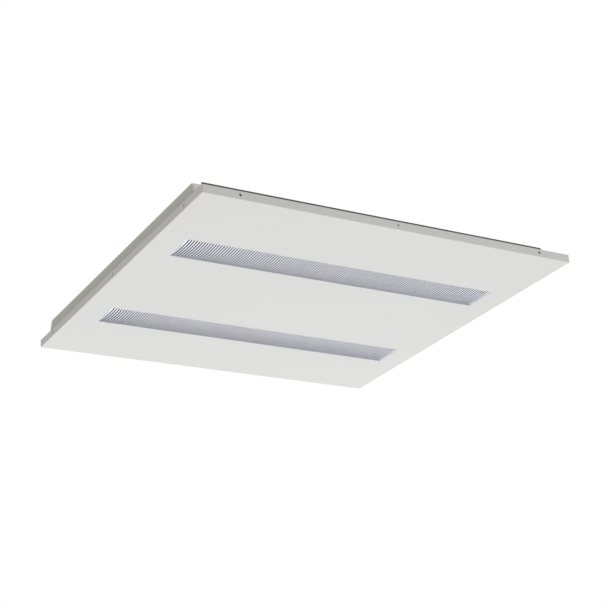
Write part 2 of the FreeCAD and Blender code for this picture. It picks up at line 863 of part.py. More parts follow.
def gear_cover():
    inside = tray_x + s.cover_play
    outside = inside + s.sheet
    front_inside = tray_y + s.cover_play
    front = front_inside + s.sheet
    plate_z = (tray_rim + s.cover_gap, tray_rim + s.cover_gap + s.sheet)
    lip_z = (plate_z[1] - s.cover_lip, plate_z[1])
    pieces = [box((-outside, outside), (-front, tray_y), plate_z)]
    for sign in SIDES.values():
        pieces.append(box(facing(sign, inside, outside), (-front, tray_y - s.cover_lip_end), lip_z))
    pieces.append(box((-outside, outside), (-front, -front_inside), lip_z))
    bores = []
    for cover_knuckle, _ in knuckle_spans():
        pieces.append(box(cover_knuckle, (tray_y - s.sheet, hinge_y), plate_z))
        pieces.append(rod(s.knuckle_radius, "x", (hinge_y, hinge_z), cover_knuckle))
        bores.append(rod(s.pin_radius + s.pin_play, "x", (hinge_y, hinge_z), cover_knuckle))
    vents = []
    for index in range(VENTS):
        place = s.driver_x + s.vent_pitch * (index - (VENTS - 1) / 2)
        vents.append(box(about(place, s.vent_width), about(s.driver_y, s.vent_length), plate_z))
    node("gear_cover", cut(join(*pieces), *bores, *vents))


def hinge_pins():
    pins = [
        rod(s.pin_radius, "x", (hinge_y, hinge_z), (first[0], last[1]))
        for _, (first, last) in knuckle_spans()
    ]
    node("hinge_pins", group(*pins))


def tray_screws():
    screws = [
        round_screw(
            (sign_x * tray_screw_x, sign_y * s.tray_screw_y), tray_floor,
            s.sheet + s.spreader_screw_depth, s.screw_radius, s.screw_head_radius, s.screw_head,
        )
        for sign_x, sign_y in CORNERS
    ]
    node("tray_screws", group(*screws))


# ---- driver ----

driver_end = s.driver_length / 2
driver_side = s.driver_width / 2
driver_top = tray_floor + s.driver_height
circuit_z = tray_floor + s.sheet + s.post_height
circuit_top = circuit_z + s.board_thickness
DRIVER_X = (s.driver_x - driver_end, s.driver_x + driver_end)
DRIVER_Y = (s.driver_y - driver_side, s.driver_y + driver_side)
SUPPLY_LEADS = [s.driver_y + s.pole_pitch * step for step in (-1, 0, 1)]


def driver_screw_places():
    reach = s.driver_length / 2 + s.driver_foot / 2
    return [s.driver_x - reach, s.driver_x + reach]


def driver():
    foot_z = (tray_floor, tray_floor + s.sheet)
    feet = box((DRIVER_X[0] - s.driver_foot, DRIVER_X[1] + s.driver_foot), DRIVER_Y, foot_z)
    outer = box(DRIVER_X, DRIVER_Y, (tray_floor, driver_top))
    room_x = (DRIVER_X[0] + s.sheet, DRIVER_X[1] - s.sheet)
    room_y = (DRIVER_Y[0] + s.sheet, DRIVER_Y[1] - s.sheet)
    room = box(room_x, room_y, (foot_z[1], driver_top))
    post_x = driver_end - 3 * s.circuit_margin
    post_y = driver_side / 2
    posts = []
    for sign_x, sign_y in CORNERS:
        centre = (s.driver_x + sign_x * post_x, s.driver_y + sign_y * post_y)
        posts.append(rod(s.post_radius, "z", centre, (foot_z[1], circuit_z)))
    holes = [rod(small_hole, "z", (place, s.driver_y), foot_z) for place in driver_screw_places()]
    for place in SUPPLY_LEADS:
        holes.append(rod(s.supply_radius + s.lead_play, "x", (place, lead_z), (DRIVER_X[0], room_x[0])))
    for _, place in LEAD_HOLES:
        holes.append(rod(s.lead_radius + s.lead_play, "x", (place, lead_z), (room_x[1], DRIVER_X[1])))
    node("driver_case", cut(join(cut(join(feet, outer), room), *posts), *holes))

    cover_z = (driver_top, driver_top + s.sheet)
    plate = box(DRIVER_X, (DRIVER_Y[0] - s.sheet, DRIVER_Y[1] + s.sheet), cover_z)
    lip_z = (driver_top - s.driver_lip, driver_top)
    lips = [
        box(DRIVER_X, (DRIVER_Y[0] - s.sheet, DRIVER_Y[0]), lip_z),
        box(DRIVER_X, (DRIVER_Y[1], DRIVER_Y[1] + s.sheet), lip_z),
    ]
    node("driver_cover", join(plate, *lips))

    margin = s.circuit_margin / 2
    circuit_x = (room_x[0] + margin, room_x[1] - margin)
    circuit_y = (room_y[0] + margin, room_y[1] - margin)
    node("driver_circuit", box(circuit_x, circuit_y, (circuit_z, circuit_top)))

    socket_z = (circuit_top, circuit_top + s.socket_height)
    sockets = [
        box((circuit_x[0], circuit_x[0] + s.socket_length), about(s.driver_y, s.socket_width), socket_z),
        box((circuit_x[1] - s.socket_length, circuit_x[1]), about(s.driver_y, s.socket_width), socket_z),
    ]
    node("driver_sockets", group(*sockets))

    seat = tray_floor + s.sheet
    small_screw = (s.small_screw_radius, s.small_head_radius, s.small_head)
    screws = [
        round_screw((place, s.driver_y), seat, 2 * s.sheet, *small_screw)
        for place in driver_screw_places()
    ]
    node("driver_screws", group(*screws))
    return circuit_x


def driver_components():
    """Transformer, choke, capacitors and a heat sink, standing on the driver's circuit board."""
    middle_x, middle_y = s.driver_x, s.driver_y
    transformer = box(
        about(middle_x, s.transformer_length), about(middle_y, s.transformer_width),
        (circuit_top, circuit_top + s.tall_component),
    )
    choke = box(
        about(middle_x - s.choke_shift, s.choke_length), about(middle_y, s.choke_width),
        (circuit_top, circuit_top + s.choke_height),
    )
    sink = box(
        about(middle_x + s.sink_shift, s.sink_thickness), about(middle_y, s.sink_width),
        (circuit_top, circuit_top + s.tall_component),
    )
    capacitors = [
        rod(radius, "z", (middle_x + shift, middle_y + spread), (circuit_top, circuit_top + tall))
        for radius, tall, shift, spread in (
            (s.capacitor_radius, s.tall_component, s.capacitor_shift, -s.capacitor_spread),
            (s.capacitor_radius, s.tall_component, s.capacitor_shift, s.capacitor_spread),
            (s.filter_radius, s.tall_component, s.filter_shift, 0.0),
            (s.fuse_radius, s.fuse_height, -s.fuse_shift, 0.0),
        )
    ]
    node("driver_components", group(transformer, choke, sink, *capacitors))


# ---- terminals and earth ----

def terminal_block():
    x = about(block_x, s.block_length)
    top = tray_floor + s.block_height
    poles = [s.driver_y + s.pole_pitch * (index - (POLES - 1) / 2) for index in range(POLES)]
    button_x = block_x - s.button_shift
    well_x = about(button_x, s.button_length + 2 * s.button_play)
    wire_z = tray_floor + s.wire_hole_height
    hollows = []
    for index, pole in enumerate(poles, start=1):
        well_y = about(pole, s.button_width + 2 * s.button_play)
        hollows.append(box(well_x, well_y, (top - s.button_well, top)))
        hollows.append(rod(s.wire_hole_radius, "x", (pole, wire_z), (x[0], x[0] + s.wire_hole_depth)))
        button_z = (top + s.button_proud - s.button_height, top + s.button_proud)
        button = box(about(button_x, s.button_length), about(pole, s.button_width), button_z)
        node(f"release_button_{index}", button)
    block = box(x, about(s.driver_y, s.block_width), (tray_floor, top))
    node("terminal_block", cut(block, *hollows))


def earth_terminal():
    centre = (earth_x, s.earth_y)
    collar_top = tray_floor + s.earth_collar
    stud = rod(s.earth_radius, "z", centre, (tray_floor, tray_floor + s.earth_rise))
    node("earth_stud", join(stud, rod(s.earth_collar_radius, "z", centre, (tray_floor, collar_top))))
    nut_z = (collar_top, collar_top + s.earth_nut_height)
    node("earth_nut", hexagon(s.earth_nut_radius, s.earth_radius + s.screw_play, centre, nut_z))


# ---- entries and leads ----

def cable_grommet():
    wall = (-tray_x, s.sheet - tray_x)
    centre = (s.entry_y, entry_z)
    rim_radius = s.entry_radius + s.grommet_rim
    outside = rod(rim_radius, "x", centre, (wall[0] - s.grommet_rim_length, wall[0]))
    inside = rod(rim_radius, "x", centre, (wall[1], wall[1] + s.grommet_rim_length))
    neck = rod(s.entry_radius - s.grommet_play, "x", centre, wall)
    span = (wall[0] - s.grommet_rim_length, wall[1] + s.grommet_rim_length)
    node("cable_grommet", cut(join(outside, neck, inside), rod(s.cable_radius, "x", centre, span)))


def blanking_plugs():
    plugs = []
    for sign in SIDES.values():
        centre = (sign * s.entry_y, entry_z)
        rim = rod(s.entry_radius + s.grommet_rim, "x", centre, (tray_x, tray_x + s.plug_rim_length))
        stem = rod(s.entry_radius - s.grommet_play, "x", centre, (tray_x - s.sheet - s.plug_depth, tray_x))
        plugs.append(join(rim, stem))
    node("blanking_plugs", group(*plugs))


def lead_grommets():
    grommets = []
    rim_radius = s.lead_hole_radius + s.lead_grommet_rim
    for centre in LEAD_HOLES:
        upper = rod(rim_radius, "z", centre, (tray_floor, tray_floor + s.lead_grommet_rim_length))
        lower = rod(rim_radius, "z", centre, (housing_ceiling - s.lead_grommet_rim_length, housing_ceiling))
        neck = rod(s.lead_hole_radius - s.grommet_play, "z", centre, (housing_ceiling, tray_floor))
        span = (housing_ceiling - s.lead_grommet_rim_length, tray_floor + s.lead_grommet_rim_length)
        grommets.append(cut(join(upper, neck, lower), rod(s.lead_radius + s.lead_play, "z", centre, span)))
    node("lead_grommets", group(*grommets))


def lead_path(points, bend):
    """Straight runs joined by tangent arcs of one radius, for square turns."""
    edges = []
    start = points[0]
    for corner, after in zip(points[1:-1], points[2:]):
        arriving = (corner - start).normalize()
        leaving = (after - corner).normalize()
        arc_start = corner - arriving * bend
        arc_end = corner + leaving * bend
        middle = corner + (leaving - arriving) * bend * (1 - 0.5 ** 0.5)
        edges.append(Part.LineSegment(start, arc_start).toShape())
        edges.append(Part.Arc(arc_start, middle, arc_end).toShape())
        start = arc_end
    edges.append(Part.LineSegment(start, points[-1]).toShape())
    return Part.Wire(edges)


def led_leads(circuit_x):
    """One lead from the driver down through the housing to each board's plug."""
    plug_face = (board_x - s.plug_setback).value
    turn = (trough_end + s.lead_turn).value
    for (name, sign), (hole_x, hole_y) in zip(SIDES.items(), LEAD_HOLES):
        aisle = sign * s.lead_aisle.value
        middle = sign * s.slot_offset.value
        route = [
            (circuit_x[1].value, hole_y.value, lead_z.value),
            (hole_x.value, hole_y.value, lead_z.value),
            (hole_x.value, hole_y.value, run_z.value),
            (hole_x.value, aisle, run_z.value),
            (turn, aisle, run_z.value),
            (turn, middle, run_z.value),
            (plug_face, middle, run_z.value),
        ]
        path = lead_path([FreeCAD.Vector(*point) for point in route], s.lead_bend.value)
        start = FreeCAD.Vector(*route[0])
        ring = Part.Wire(Part.makeCircle(s.lead_radius.value, start, FreeCAD.Vector(1, 0, 0)))
        lead = node(f"led_lead_{name}", doc.addObject("Part::Feature", f"led_lead_{name}"))
        lead.Shape = path.makePipeShell([ring], True, True)
        expected = path.Length * ring.Length * s.lead_radius.value / 2
        assert abs(lead.Shape.Volume / expected - 1) < 0.02, f"{name} lead: its volume is not its length's"


def supply_leads(circuit_x):
    block_face = block_x + s.block_length / 2
    leads = [
        rod(s.supply_radius, "x", (place, lead_z), (block_face, circuit_x[0]))
        for place in SUPPLY_LEADS
    ]
    node("supply_leads", group(*leads))


# ---- clips and hangers on the back ----

def grid_clips():
    """Stepped arms that lie along Y at rest and swing out over the ceiling grid's rails."""
    pivots = []
    step_top = swing_under + s.swing_rise
    upper = (step_top, step_top + s.swing_sheet)
    for index, (sign_x, sign_y) in enumerate(CORNERS, start=1):
        centre = (sign_x * s.swing_x, sign_y * s.swing_y)
        x = about(centre[0], 2 * s.swing_radius)
        flat = (swing_under, swing_top)
        step = s.swing_y - s.swing_step
        tip = s.swing_y - s.swing_reach
        eye = rod(s.swing_radius, "z", centre, flat)
        strip = box(x, facing(sign_y, step, s.swing_y), flat)
        riser = box(x, facing(sign_y, step - s.swing_sheet, step), (swing_under, upper[1]))
        finger = box(x, facing(sign_y, tip, step), upper)
        rounded_tip = rod(s.swing_radius, "z", (centre[0], sign_y * tip), upper)
        hole = rod(pivot_hole, "z", centre, flat)
        node(f"grid_clip_{index}", cut(join(eye, strip, riser, finger, rounded_tip), hole))

        head_z = swing_top + s.swing_top_gap
        head = (head_z, head_z + s.pivot_head)
        foot = (housing_ceiling - s.pivot_head, housing_ceiling)
        collar = (s.housing_top, s.housing_top + s.pivot_collar)
        pivots.append(join(
            rod(s.pivot_radius, "z", centre, (foot[0], head[1])),
            rod(s.pivot_head_radius, "z", centre, head),
            rod(s.pivot_collar_radius, "z", centre, foot),
            rod(s.pivot_collar_radius, "z", centre, collar),
        ))
    node("clip_pivots", group(*pivots))


def hangers():
    """Stepped brackets with a hole in the raised tab, each on two rivets."""
    brackets = []
    hanger_rivets = []
    base_top = s.housing_top + s.hanger_sheet
    tab_z = (s.housing_top + s.hanger_rise - s.hanger_sheet, s.housing_top + s.hanger_rise)
    for sign_x, sign_y in CORNERS:
        middle = sign_x * s.hanger_x
        x = about(middle, s.hanger_width)
        base = box(x, facing(sign_y, hanger_riser - s.hanger_base, hanger_riser), (s.housing_top, base_top))
        riser_y = facing(sign_y, hanger_riser, hanger_riser + s.hanger_sheet)
        riser = box(x, riser_y, (s.housing_top, tab_z[1]))
        tab = box(x, facing(sign_y, hanger_riser, hanger_riser + s.hanger_tab), tab_z)
        holes = [rod(s.hanger_hole_radius, "z", (middle, sign_y * s.hanger_y), tab_z)]
        for side in SIDES.values():
            centre = (middle + side * s.hanger_rivet_reach, sign_y * hanger_rivet_y)
            holes.append(rod(hanger_hole, "z", centre, (s.housing_top, base_top)))
            foot_z = housing_ceiling - s.hanger_rivet_head
            hanger_rivets.append(join(
                rod(s.hanger_rivet_radius, "z", centre, (foot_z, base_top)),
                rod(s.hanger_rivet_head_radius, "z", centre, (base_top, base_top + s.hanger_rivet_head)),
                rod(s.hanger_rivet_head_radius, "z", centre, (foot_z, housing_ceiling)),
            ))
        brackets.append(cut(join(base, riser, tab), *holes))
    node("hanger_brackets", group(*brackets))
    node("hanger_rivets", group(*hanger_rivets))


def check_and_write():
    doc.recompute()
    for thing in doc.Objects:
        faults = [state for state in thing.State if state in ("Invalid", "Error")]
        assert not faults, f"{thing.Label}: {faults}"
    os.makedirs("parts", exist_ok=True)
    for label, thing in parts.items():
        shape = thing.Shape
        assert not shape.isNull() and shape.isValid() and shape.Solids, f"{label}: its shape is not sound"
        shape.exportStep(f"parts/{label}.step")
    print(len(parts), "nodes written")


face_panel()
rear_housing()
panel_brackets()
side_spacers()
rivets()
louvres()
diffusers()
reflectors()
reflector_ends()
louvre_clips()
light_sources()
spreader_screws()
gear_tray()
tray_ends()
gear_cover()
hinge_pins()
tray_screws()
circuit_x = driver()
driver_components()
terminal_block()
earth_terminal()
cable_grommet()
blanking_plugs()
lead_grommets()
led_leads(circuit_x)
supply_leads(circuit_x)
grid_clips()
hangers()
check_and_write()
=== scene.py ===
"""Looks of a square recessed ceiling light: finishes, fasteners, grommets, leads, studio and camera."""
import json
from math import pi

import bpy
from mathutils import Matrix, Vector


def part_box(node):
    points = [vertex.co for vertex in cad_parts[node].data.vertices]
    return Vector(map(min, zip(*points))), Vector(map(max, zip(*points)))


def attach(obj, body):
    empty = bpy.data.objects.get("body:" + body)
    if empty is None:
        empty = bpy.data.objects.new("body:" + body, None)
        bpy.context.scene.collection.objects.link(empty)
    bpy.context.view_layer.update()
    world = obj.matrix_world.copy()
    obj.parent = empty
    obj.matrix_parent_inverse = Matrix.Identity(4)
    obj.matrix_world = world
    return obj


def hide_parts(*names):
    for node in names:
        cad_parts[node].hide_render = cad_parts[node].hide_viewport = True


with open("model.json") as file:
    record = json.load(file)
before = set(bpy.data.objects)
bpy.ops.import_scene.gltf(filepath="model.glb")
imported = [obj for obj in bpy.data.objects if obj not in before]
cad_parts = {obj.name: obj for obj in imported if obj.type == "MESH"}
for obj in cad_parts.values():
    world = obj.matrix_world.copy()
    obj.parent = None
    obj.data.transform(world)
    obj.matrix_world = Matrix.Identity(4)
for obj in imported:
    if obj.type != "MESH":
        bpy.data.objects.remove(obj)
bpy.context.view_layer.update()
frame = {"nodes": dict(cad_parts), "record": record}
nodes = frame["nodes"]

MM = 0.001
QUARTER = pi / 2
ROUND = 32
MERGE = 0.001 * MM
SMOOTH_ANGLE = 0.6
BLACK = (0.0, 0.0, 0.0, 1.0)
WHITE = (1.0, 1.0, 1.0, 1.0)

SLOT_MIDDLE = 132.0
SLOT_HALF = 29.0
EDGE_HOLE_Z = 6.5


# ---- modelling helpers: sizes in mm ----

def clear_selection():
    if bpy.context.object and bpy.context.object.mode != "OBJECT":
        bpy.ops.object.mode_set(mode="OBJECT")
    bpy.ops.object.select_all(action="DESELECT")


def select_only(*pieces):
    """Selects these pieces and makes the first of them active."""
    clear_selection()
    for piece in pieces:
        piece.select_set(True)
    bpy.context.view_layer.objects.active = pieces[0]


def box_mm(node):
    """The low and high corners of a CAD node."""
    low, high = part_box(node)
    return low / MM, high / MM


def started(name):
    """Names the primitive that was just added, and opens it for editing."""
    piece = bpy.context.object
    piece.name = name
    piece.data.name = name
    bpy.ops.object.mode_set(mode="EDIT")
    return piece


def settle(piece):
    """Leaves the piece closed, facing outwards, and with its place in its mesh."""
    bpy.ops.object.mode_set(mode="EDIT")
    bpy.ops.mesh.select_all(action="SELECT")
    bpy.ops.mesh.remove_doubles(threshold=MERGE)
    bpy.ops.mesh.normals_make_consistent(inside=False)
    bpy.ops.object.mode_set(mode="OBJECT")
    bpy.ops.object.transform_apply(location=True, rotation=True, scale=True)
    return piece


def choose_faces(piece, wanted):
    """Selects the faces that a test picks by their middle and normal."""
    bpy.ops.mesh.select_mode(type="FACE")
    bpy.ops.mesh.select_all(action="DESELECT")
    bpy.ops.object.mode_set(mode="OBJECT")
    for face in piece.data.polygons:
        face.select = wanted(face.center, face.normal)
    bpy.ops.object.mode_set(mode="EDIT")


def turned(name, rings, segments=ROUND):
    """A piece turned about Z from rings of (radius, height); a profile that ends at its start is a tube."""
    tube = rings[0] == rings[-1]
    radius, height = rings[0]
    clear_selection()
    bpy.ops.mesh.primitive_circle_add(
        vertices=segments,
        radius=radius * MM,
        fill_type="NOTHING" if tube else "NGON",
        location=(0, 0, height * MM),
    )
    piece = started(name)
    bpy.ops.mesh.select_mode(type="EDGE" if tube else "FACE")
    bpy.ops.mesh.select_all(action="SELECT")
    for next_radius, next_height in rings[1:]:
        rise = (next_height - height) * MM
        bpy.ops.mesh.extrude_region_move(TRANSFORM_OT_translate={"value": (0, 0, rise)})
        ratio = next_radius / radius
        bpy.ops.transform.resize(value=(ratio, ratio, 1), center_override=(0, 0, next_height * MM))
        radius, height = next_radius, next_height
    return settle(piece)


def block(name, low, high):
    """A box between two corners, left open for editing."""
    low, high = Vector(low) * MM, Vector(high) * MM
    clear_selection()
    bpy.ops.mesh.primitive_cube_add(size=1, location=(low + high) / 2, scale=high - low)
    bpy.ops.object.transform_apply(location=True, rotation=True, scale=True)
    piece = started(name)
    bpy.ops.mesh.select_all(action="SELECT")
    return piece


def soft_block(name, low, high, radius, segments):
    """A box between two corners with all its edges rounded, left open for editing."""
    piece = block(name, low, high)
    bpy.ops.mesh.bevel(offset=radius * MM, segments=segments, affect="EDGES")
    return piece


def carve(piece, cutter):
    """Cuts one piece out of another."""
    modifier = piece.modifiers.new("carve", "BOOLEAN")
    modifier.operation = "DIFFERENCE"
    modifier.solver = "EXACT"
    modifier.object = cutter
    select_only(piece)
    bpy.ops.object.modifier_apply(modifier=modifier.name)
    bpy.data.objects.remove(cutter)


def joined(name, pieces):
    """Several pieces as one."""
    select_only(*pieces)
    bpy.ops.object.join()
    piece = bpy.context.object
    piece.name = name
    return piece


def copies(name, model, places):
    """Copies of one model at several matrices, joined to one piece."""
    made = []
    for place in places:
        copy = bpy.data.objects.new(name, model.data.copy())
        copy.data.transform(place)
        bpy.context.collection.objects.link(copy)
        made.append(copy)
    piece = joined(name, made)
    bpy.data.objects.remove(model)
    return piece


def at(x, y, z, towards="+z", turn=0.0):
    """A matrix that stands a turned piece at a point, with its top towards an axis, after a turn about Z."""
    tilts = {
        "+z": Matrix.Identity(4),
        "+x": Matrix.Rotation(QUARTER, 4, "Y"),
        "-x": Matrix.Rotation(-QUARTER, 4, "Y"),
        "+y": Matrix.Rotation(-QUARTER, 4, "X"),
        "-y": Matrix.Rotation(QUARTER, 4, "X"),
    }
    return Matrix.Translation(Vector((x, y, z)) * MM) @ tilts[towards] @ Matrix.Rotation(turn, 4, "Z")


def finish_piece(piece, slot, *replaced, body="luminaire"):
    """Smooths and paints a piece, and puts it on its body in place of CAD nodes."""
    select_only(piece)
    bpy.ops.object.shade_smooth_by_angle(angle=SMOOTH_ANGLE)
    piece.data.materials.clear()
    piece.data.materials.append(finishes[slot])
    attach(piece, body)
    if replaced:
        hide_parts(*replaced)


# ---- shader nodes ----

def rgb(red, green, blue):
    """A colour from its 0 to 255 values, as a shader takes it."""
    def linear(value):
        share = value / 255
        return share / 12.92 if share <= 0.04045 else ((share + 0.055) / 1.055) ** 2.4
    return (linear(red), linear(green), linear(blue), 1.0)


class Line:
    """One output in a node tree; arithmetic on it adds Math nodes."""

    def __init__(self, shading, socket):
        self.shading = shading
        self.socket = socket

    def __add__(self, other):
        return self.shading.maths("ADD", self, other)

    def __radd__(self, other):
        return self.shading.maths("ADD", other, self)

    def __sub__(self, other):
        return self.shading.maths("SUBTRACT", self, other)

    def __mul__(self, other):
        return self.shading.maths("MULTIPLY", self, other)

    def __rmul__(self, other):
        return self.shading.maths("MULTIPLY", other, self)

    def __truediv__(self, other):
        return self.shading.maths("DIVIDE", self, other)

    def __abs__(self):
        return self.shading.maths("ABSOLUTE", self, 0.0)

    def __mod__(self, other):
        return self.shading.maths("FLOORED_MODULO", self, other)

    def __lt__(self, other):
        return self.shading.maths("LESS_THAN", self, other)

    def __gt__(self, other):
        return self.shading.maths("GREATER_THAN", self, other)


class Shading:
    """The node tree of a material or of the world."""

    def __init__(self, tree):
        self.tree = tree

    def add(self, kind, settings=None, inputs=None, out=0):
        """Adds a node: settings first, then the values or lines of its sockets."""
        made = self.tree.nodes.new(kind)
        for key, value in (settings or {}).items():
            if key == "stops":
                ramp = made.color_ramp.elements
                while len(ramp) < len(value):
                    ramp.new(0.5)
                for stop, (position, colour) in zip(ramp, value):
                    stop.position = position
                    stop.color = colour
            else:
                setattr(made, key, value)
        for key, value in (inputs or {}).items():
            self.feed(made.inputs[key], value)
        return Line(self, made.outputs[out])

    def feed(self, socket, value):
        """Links a line to a socket, or sets its value."""
        if isinstance(value, Line):
            self.tree.links.new(value.socket, socket)
        else:
            socket.default_value = value

    def maths(self, operation, first, second):
        return self.add("ShaderNodeMath", {"operation": operation}, {0: first, 1: second})

    def mix(self, share, first, second):
        return self.add("ShaderNodeMix", {"data_type": "RGBA"}, {0: share, 6: first, 7: second}, out=2)

    def ramp(self, share, *stops):
        return self.add("ShaderNodeValToRGB", {"stops": stops}, {0: share})

    def fade(self, share, low, high):
        """Black up to one share and white from another."""
        return self.ramp(share, (low, BLACK), (high, WHITE))


class Finish(Shading):
    """A material on the Principled shader, built from nodes on object coordinates."""

    def __init__(self, name, **constants):
        self.material = bpy.data.materials.new(name)
        self.material.use_nodes = True
        super().__init__(self.material.node_tree)
        self.shader = self.tree.nodes["Principled BSDF"]
        for socket, value in constants.items():
            self.shader.inputs[socket.replace("_", " ")].default_value = value
        self.place = self.add("ShaderNodeTexCoord", out="Object")

    def axis(self, name):
        return self.add("ShaderNodeSeparateXYZ", inputs={0: self.place}, out=name)

    def drawn(self, stretch):
        """Object coordinates, drawn out along the axes where stretch is small."""
        return self.add("ShaderNodeMapping", inputs={"Vector": self.place, "Scale": stretch})

    def noise(self, scale, detail=3.0, stretch=(1, 1, 1), rough=0.5):
        """Cloudy noise of so many lumps a metre."""
        return self.add(
            "ShaderNodeTexNoise",
            {"noise_dimensions": "3D"},
            {"Vector": self.drawn(stretch), "Scale": scale, "Detail": detail, "Roughness": rough},
        )

    def cells(self, scale, stretch):
        """A colour of its own for each of so many cells a metre."""
        return self.add(
            "ShaderNodeTexVoronoi",
            {"feature": "F1"},
            {"Vector": self.drawn(stretch), "Scale": scale},
            out="Color",
        )

    def colour(self, value):
        self.feed(self.shader.inputs["Base Color"], value)

    def roughness(self, value):
        self.feed(self.shader.inputs["Roughness"], value)

    def relief(self, height, depth):
        """Bumps of so many metres from a height of 0 to 1."""
        bump = self.add("ShaderNodeBump", inputs={"Height": height, "Distance": depth, "Strength": 1.0})
        self.feed(self.shader.inputs["Normal"], bump)


# ---- finishes: sizes in metres, noise in lumps a metre ----

def powder_coat(name, colour, shade, rough, peel):
    """Satin powder coat: faint orange peel, a slow drift of colour, fine specks, slightly uneven gloss."""
    coat = Finish(name, IOR=1.5, Coat_Roughness=0.3)
    drift = coat.noise(5.0, detail=2.0)
    specks = coat.noise(2600.0, detail=1.0)
    orange_peel = coat.noise(620.0, detail=2.0)
    tone = coat.mix(drift, colour, shade)
    half = (0.5, 0.5, 0.5, 1.0)
    speck = coat.ramp(specks, (0.66, BLACK), (0.76, half))
    coat.colour(coat.mix(speck, tone, shade))
    coat.roughness(rough + 0.10 * drift + 0.08 * orange_peel)
    coat.relief(orange_peel, peel)
    return coat.material


def plated_metal(name, colour, tint, rough, grain=(1, 1, 1)):
    """Plated or brushed metal: streaks along its grain, cloudy tint and uneven gloss."""
    metal = Finish(name, Metallic=1.0)
    streaks = metal.noise(420.0, detail=4.0, stretch=grain, rough=0.6)
    clouds = metal.noise(38.0, detail=3.0)
    share = metal.fade(clouds * 0.6 + streaks * 0.4, 0.34, 0.68)
    metal.colour(metal.mix(share, colour, tint))
    metal.roughness(rough + 0.20 * streaks)
    metal.relief(streaks, 0.000012)
    return metal.material


def galvanised_sheet(name):
    """Zinc-coated sheet: flat grey spangles of different tone and gloss, with a faint dull bloom."""
    metal = Finish(name, Metallic=1.0)
    wobble = metal.noise(90.0, detail=2.0)
    spangle = metal.cells(115.0, (1.0, 1.25, 1.0))
    shade = metal.add("ShaderNodeSeparateColor", inputs={0: spangle})
    bloom = metal.noise(16.0, detail=4.0)
    share = shade * 0.55 + bloom * 0.3 + wobble * 0.15
    dark, middle, light = rgb(180, 183, 186), rgb(194, 197, 200), rgb(209, 211, 213)
    metal.colour(metal.ramp(share, (0.15, dark), (0.5, middle), (0.85, light)))
    metal.roughness(0.34 + 0.18 * shade + 0.12 * bloom)
    metal.relief(shade * 0.4 + wobble * 0.6, 0.00003)
    return metal.material


def moulded_plastic(name, colour, shade, rough, texture=900.0):
    """Moulded plastic: fine spark texture, slight flow marks and dusty shade."""
    plastic = Finish(name, IOR=1.46)
    flow = plastic.noise(24.0, detail=3.0, stretch=(1, 2.2, 1))
    spark = plastic.noise(texture, detail=2.0)
    plastic.colour(plastic.mix(flow, colour, shade))
    plastic.roughness(rough + 0.16 * spark + 0.06 * flow)
    plastic.relief(spark, 0.00002)
    return plastic.material


def louvre_finish(name):
    """Satin metallised blades: draw marks, slightly cool; painted shade darkens each blade's side from just
    above its bowed lower edge up into the roots, and painted shade darkens the rails.
    """
    slot_middle, slot_half = SLOT_MIDDLE * MM, SLOT_HALF * MM
    # after the bow: the band above it kept free of painted shade, the height over which painted shade fades
    # in, and where the rails with painted shade start
    bow, painted_shade_start, painted_shade_height, rail_start = 0.0018, 0.0002, 0.0012, 0.955
    blades = Finish(name, Metallic=0.75, IOR=1.5)
    marks = blades.noise(900.0, detail=3.0, stretch=(1.0, 0.06, 1.0))
    drift = blades.noise(9.0, detail=2.0)
    across = (abs(blades.axis("Y")) - slot_middle) / slot_half
    # painted shade: the blade tone fades to a darker lavender grey up each blade's side, where shade falls
    # between the blades
    depth = (blades.axis("Z") - bow * across * across - painted_shade_start) / painted_shade_height
    blade_tone = blades.mix(marks * 0.6 + drift * 0.4, rgb(240, 242, 250), rgb(229, 231, 241))
    blade = blades.mix(blades.fade(depth, 0.0, 1.0), blade_tone, rgb(178, 178, 193))
    # painted shade: the rails along both long sides of each slot are painted darker
    painted_shade_rail = abs(across) > rail_start
    blades.colour(blades.mix(painted_shade_rail, blade, rgb(184, 184, 198)))
    blades.roughness(0.26 + 0.14 * marks)
    blades.relief(marks, 0.000012)
    return blades.material


def opal_finish(name):
    """Frosted opal sheet: milky, with a fine matt grain."""
    sheet = Finish(name, IOR=1.49)
    grain = sheet.noise(1500.0, detail=2.0)
    milk = sheet.noise(12.0, detail=2.0)
    sheet.colour(sheet.mix(milk, rgb(240, 240, 244), rgb(231, 231, 237)))
    sheet.roughness(0.52 + 0.14 * grain)
    sheet.relief(grain, 0.00001)
    return sheet.material


def board_finish(name, mask, track, pads):
    """Solder mask over tracks, with tinned pads between them."""
    tracks_a_metre, pads_a_metre = 420.0, 150.0
    board = Finish(name, IOR=1.5, Coat_Weight=0.3)
    across = abs(board.axis("Y") * tracks_a_metre % 1.0 - 0.5)
    along = abs(board.axis("X") * pads_a_metre % 1.0 - 0.5)
    wander = board.noise(60.0, detail=1.0)
    tracks = (across + wander * 0.2) > 0.40
    pad = (across < 0.10) * (along < 0.06)
    board.colour(board.mix(pad, board.mix(tracks * 0.5, mask, track), pads))
    board.roughness(0.28 + 0.2 * board.noise(300.0) - 0.08 * pad)
    board.relief(tracks, 0.00002)
    return board.material


def led_finish(name):
    """Small white packages with a yellow phosphor window in the middle of each."""
    pitch, half_size, window_radius = 0.0132, 0.0015, 0.0012
    led = Finish(name, IOR=1.5)
    row_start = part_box("leds_near")[0].x
    row_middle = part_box("leds_far")[0].y + half_size
    along = (led.axis("X") - row_start) % pitch - half_size
    across = abs(led.axis("Y")) - row_middle
    window = (along * along + across * across) < window_radius ** 2
    grain = led.noise(4200.0, detail=2.0)
    phosphor = led.mix(grain, rgb(240, 206, 74), rgb(226, 178, 44))
    led.colour(led.mix(window, rgb(236, 236, 232), phosphor))
    led.roughness(0.35 + 0.2 * grain)
    led.relief(window, 0.0001)
    return led.material


